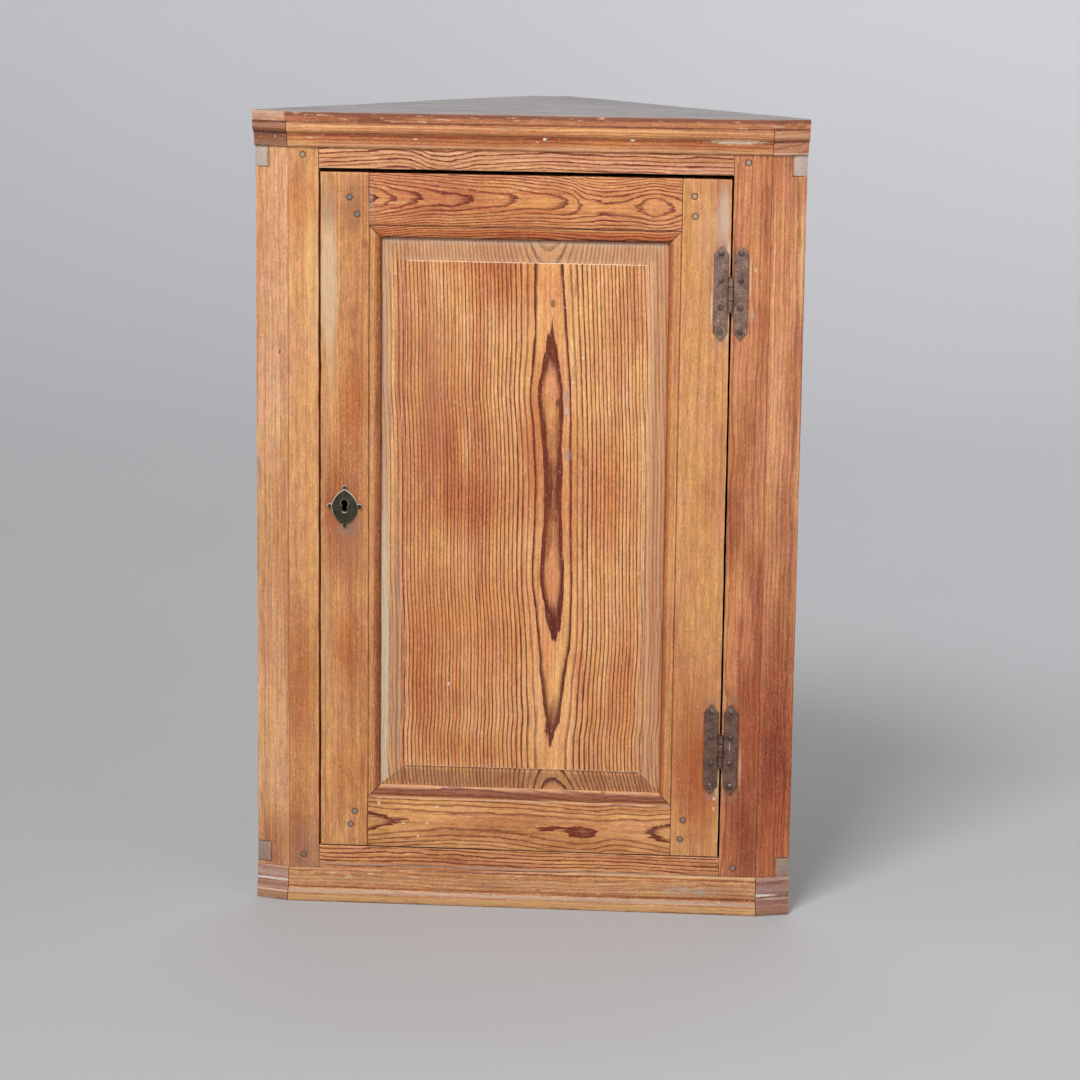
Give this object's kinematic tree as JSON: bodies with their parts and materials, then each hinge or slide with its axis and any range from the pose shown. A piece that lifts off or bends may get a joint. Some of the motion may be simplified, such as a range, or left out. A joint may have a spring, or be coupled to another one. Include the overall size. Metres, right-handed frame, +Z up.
{
  "type": "corner cupboard",
  "caption": "Corner cupboard with canted returns, moulded cornice and base, and one framed door with a fielded panel that hangs on face hinges and locks with a sliding bolt.",
  "frame": {"origin": "middle of the overall box's footprint, on the floor", "axes": "+X to the right seen from the front, +Y from the door to the room's corner, +Z up"},
  "size_m": [0.6154, 0.3034, 0.902],
  "materials": {
    "pine_honey": "waxed old pine, honey coloured, worn",
    "pine_red": "waxed old pine with traces of red-brown stain, worn",
    "pine_weathered": "bare pine, grey and weathered",
    "pine_inner": "bare pine, darkened by age",
    "peg_wood": "grey end grain",
    "wrought_iron": "wrought iron, brown and dull",
    "lock_iron": "sheet iron, dark and oiled",
    "patinated_brass": "brass with a dark olive patina"
  },
  "bodies": {
    "carcass": {"top_board": "pine_weathered", "cornice_front": "pine_honey", "cornice_left": "pine_red", "cornice_right": "pine_honey", "base_moulding_front": "pine_honey", "base_moulding_left": "pine_red", "base_moulding_right": "pine_red", "frame_stile_left": "pine_honey", "frame_stile_right": "pine_red", "frieze_rail": "pine_honey", "bottom_rail": "pine_honey", "canted_return_left": "pine_honey", "canted_return_right": "pine_red", "carcass_ceiling": "pine_inner", "carcass_floor": "pine_inner", "wall_plank_left_front": "pine_inner", "wall_plank_left_rear": "pine_inner", "wall_plank_right_front": "pine_inner", "wall_plank_right_rear": "pine_inner", "rear_corner_slat": "pine_inner", "shelf_lower": "pine_inner", "shelf_upper": "pine_inner", "shelf_bearer_lower_left": "pine_inner", "shelf_bearer_lower_right": "pine_inner", "shelf_bearer_upper_left": "pine_inner", "shelf_bearer_upper_right": "pine_inner", "frame_peg_upper_left": "peg_wood", "frame_peg_lower_left": "peg_wood", "frame_peg_upper_right": "peg_wood", "frame_peg_lower_right": "peg_wood", "hinge_leaf_frame_upper": "wrought_iron", "hinge_leaf_frame_lower": "wrought_iron", "strike_plate": "lock_iron"},
    "door": {"door_stile_lock": "pine_honey", "door_stile_hinge": "pine_honey", "door_rail_top": "pine_honey", "door_rail_bottom": "pine_honey", "door_panel": "pine_red", "door_peg_lock_upper_1": "peg_wood", "door_peg_lock_upper_2": "peg_wood", "door_peg_lock_lower_1": "peg_wood", "door_peg_lock_lower_2": "peg_wood", "door_peg_hinge_upper_1": "peg_wood", "door_peg_hinge_upper_2": "peg_wood", "door_peg_hinge_lower_1": "peg_wood", "door_peg_hinge_lower_2": "peg_wood", "hinge_leaf_door_upper": "wrought_iron", "hinge_leaf_door_lower": "wrought_iron", "hinge_pin_upper": "wrought_iron", "hinge_pin_lower": "wrought_iron", "escutcheon": "patinated_brass", "lock_case": "lock_iron", "lock_spring": "lock_iron", "lock_drill_pin": "lock_iron"},
    "bolt": {"lock_bolt": "lock_iron"}
  },
  "joints": [
    {"name": "door_swing", "type": "hinge", "parent": "carcass", "child": "door", "pos_m": [0.2244, -0.14695, 0.45], "axis": [0, 0, 1], "range_deg": [0, 170]},
    {"name": "lock_bolt_throw", "type": "slide", "parent": "door", "child": "bolt", "axis": [-1, 0, 0], "range_m": [0, 0.009]}
  ]
}
